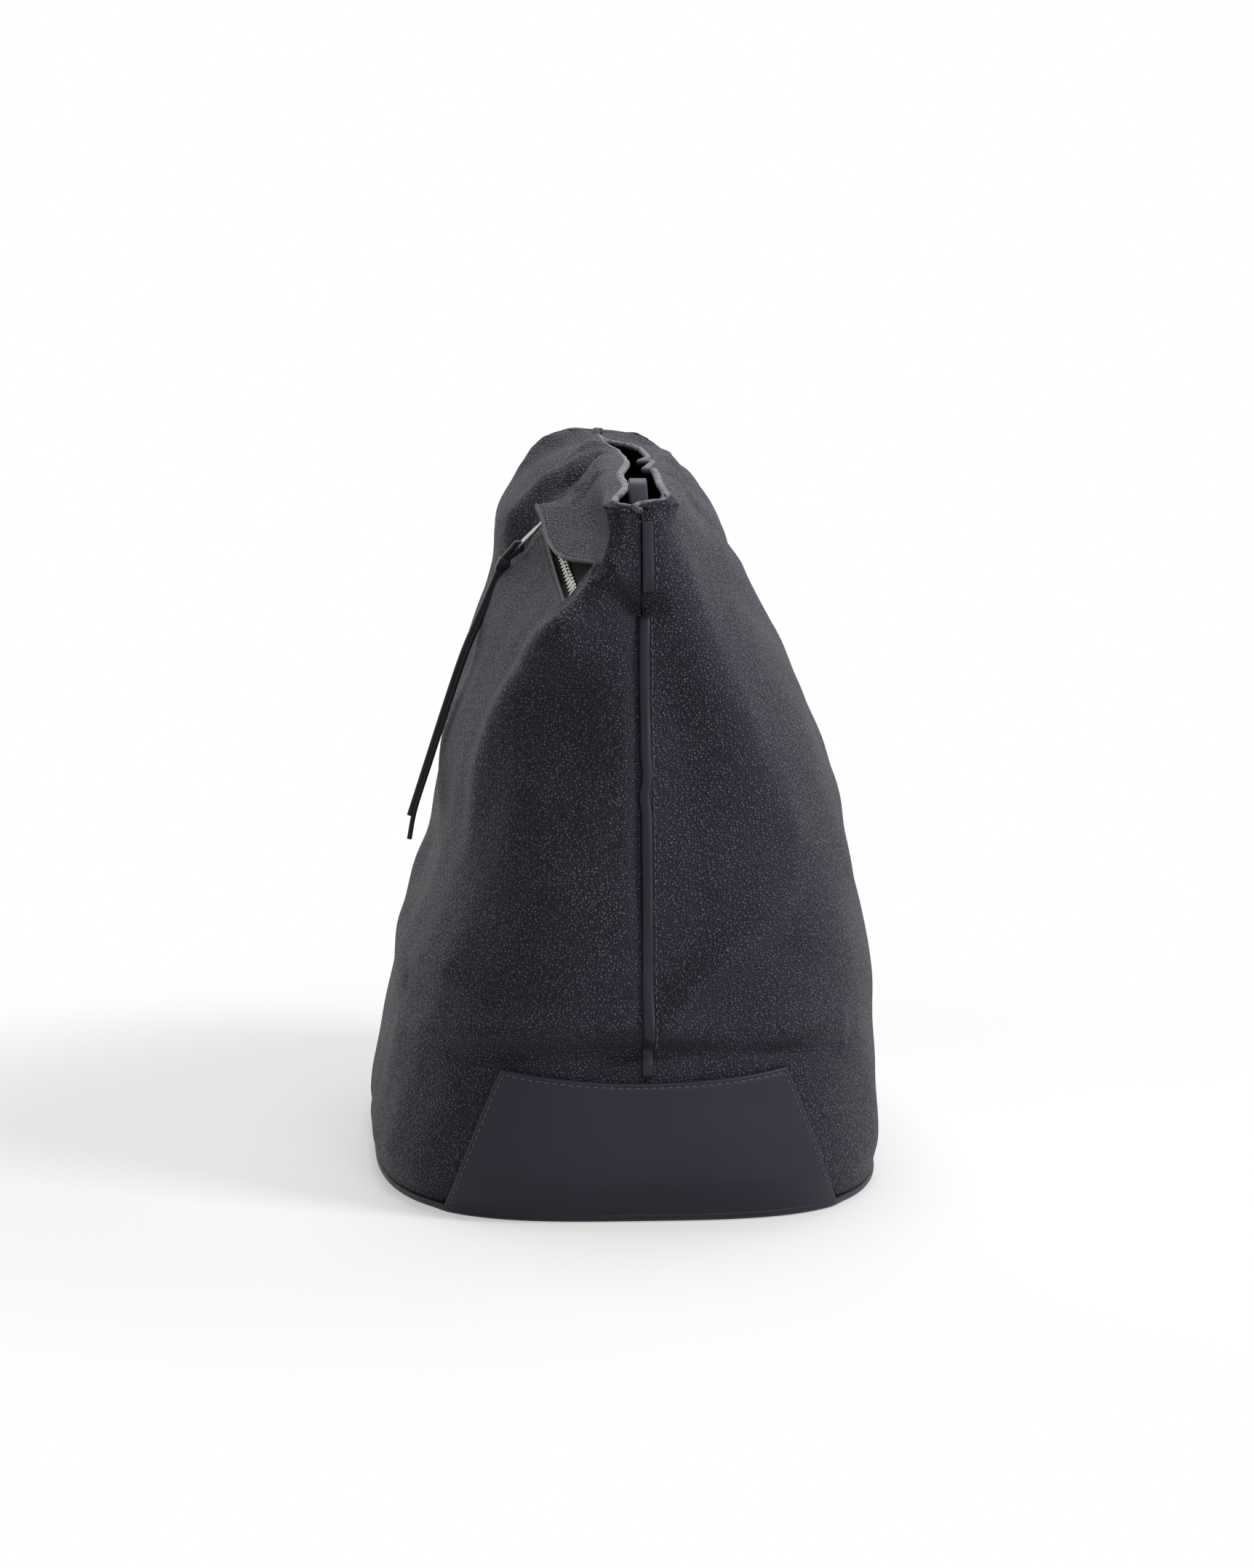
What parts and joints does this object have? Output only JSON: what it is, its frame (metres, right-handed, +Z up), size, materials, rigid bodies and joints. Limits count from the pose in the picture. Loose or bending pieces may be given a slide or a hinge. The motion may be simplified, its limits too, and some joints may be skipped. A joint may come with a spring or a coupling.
{
  "type": "hobo bag",
  "caption": "Soft pebbled leather hobo bag with a pinched open mouth, smooth base with end tabs, zipped front pocket with a leather thong pull, and a strap dropped inside.",
  "frame": {"origin": "middle of the base's underside, on the floor", "axes": "+X along the bag to its low, pinched end; -Y to the front with the zip pocket; +Z up"},
  "size_m": [0.3969, 0.2406, 0.3401],
  "materials": {
    "pebbled_leather": "pebbled grain, soft sheen",
    "smooth_leather": "smooth, satin",
    "leather_edge": "turned edge, matt",
    "lining_cloth": "plain woven",
    "zip_tape": "woven tape",
    "zip_metal": "polished nickel",
    "board": "pressed fibre board"
  },
  "bodies": {
    "bag": {"front_panel": "pebbled_leather", "back_panel": "pebbled_leather", "base_panel": "smooth_leather", "base_board": "board", "lining": "lining_cloth", "mouth_rim": "leather_edge", "near_end_welt": "smooth_leather", "far_end_welt": "smooth_leather", "shoulder_strap": "smooth_leather", "near_strap_anchor": "smooth_leather", "far_strap_anchor": "smooth_leather", "zip_tape_upper": "zip_tape", "zip_tape_lower": "zip_tape", "zip_teeth_upper": "zip_metal", "zip_teeth_lower": "zip_metal", "zip_bottom_stop": "zip_metal", "zip_top_stop_upper": "zip_metal", "zip_top_stop_lower": "zip_metal", "pocket_bag": "lining_cloth"},
    "slider": {"zip_slider": "zip_metal"},
    "puller": {"zip_puller": "zip_metal"},
    "thong": {"pull_thong": "smooth_leather", "thong_keeper": "smooth_leather"}
  },
  "joints": [
    {"name": "zip_slide", "type": "slide", "parent": "bag", "child": "slider", "axis": [0.9829, 0.0257, -0.1822], "range_m": [0, 0.121], "deforming": ["zip_teeth_upper", "zip_teeth_lower"]},
    {"name": "puller_swing", "type": "hinge", "parent": "slider", "child": "puller", "pos_m": [0.01308, -0.03553, 0.30114], "axis": [-0.9829, -0.0257, 0.1822], "range_deg": [0, 110]},
    {"name": "thong_swing", "type": "hinge", "parent": "puller", "child": "thong", "pos_m": [0.01103, -0.04838, 0.28827], "axis": [-0.9829, -0.0257, 0.1822], "range_deg": [0, 60]}
  ]
}
